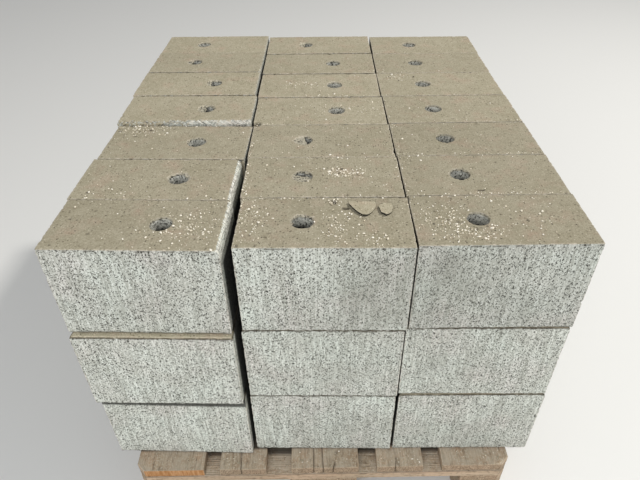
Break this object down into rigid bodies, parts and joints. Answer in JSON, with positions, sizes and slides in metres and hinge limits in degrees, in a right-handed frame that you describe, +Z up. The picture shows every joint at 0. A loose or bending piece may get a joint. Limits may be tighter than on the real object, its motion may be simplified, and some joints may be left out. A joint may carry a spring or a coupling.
{
  "type": "pallet of concrete blocks",
  "caption": "Timber pallet loaded with solid concrete blocks, each with a round core, stacked in columns, rows and courses.",
  "frame": {"origin": "middle of the pallet's footprint, on the floor", "axes": "+Z up, +Y along the pallet's long side towards the rear of the load, +X to the right seen from the front"},
  "size_m": [0.9069, 1.2, 0.72],
  "materials": {
    "concrete": "cast, fine pores, dusty",
    "board_timber": "sawn softwood, weathered and dusty",
    "spacer_timber": "sawn softwood, weathered"
  },
  "bodies": {
    "root": {"bottom_course_row_1": "concrete", "bottom_course_row_2": "concrete", "bottom_course_row_3": "concrete", "bottom_course_row_4": "concrete", "bottom_course_row_5": "concrete", "bottom_course_row_6": "concrete", "bottom_course_row_7": "concrete", "cross_board_front": "board_timber", "cross_board_middle": "board_timber", "cross_board_rear": "board_timber", "deck_board_1": "board_timber", "deck_board_2": "board_timber", "deck_board_3": "board_timber", "deck_board_4": "board_timber", "deck_board_5": "board_timber", "middle_course_row_1": "concrete", "middle_course_row_2": "concrete", "middle_course_row_3": "concrete", "middle_course_row_4": "concrete", "middle_course_row_5": "concrete", "middle_course_row_6": "concrete", "middle_course_row_7": "concrete", "runner_centre": "board_timber", "runner_left": "board_timber", "runner_right": "board_timber", "spacer_front_centre": "spacer_timber", "spacer_front_left": "spacer_timber", "spacer_front_right": "spacer_timber", "spacer_middle_centre": "spacer_timber", "spacer_middle_left": "spacer_timber", "spacer_middle_right": "spacer_timber", "spacer_rear_centre": "spacer_timber", "spacer_rear_left": "spacer_timber", "spacer_rear_right": "spacer_timber", "top_block_centre_1": "concrete", "top_block_centre_2": "concrete", "top_block_centre_3": "concrete", "top_block_centre_4": "concrete", "top_block_centre_5": "concrete", "top_block_centre_6": "concrete", "top_block_centre_7": "concrete", "top_block_left_1": "concrete", "top_block_left_2": "concrete", "top_block_left_3": "concrete", "top_block_left_4": "concrete", "top_block_left_5": "concrete", "top_block_left_6": "concrete", "top_block_left_7": "concrete", "top_block_right_1": "concrete", "top_block_right_2": "concrete", "top_block_right_3": "concrete", "top_block_right_4": "concrete", "top_block_right_5": "concrete", "top_block_right_6": "concrete", "top_block_right_7": "concrete"}
  },
  "joints": []
}
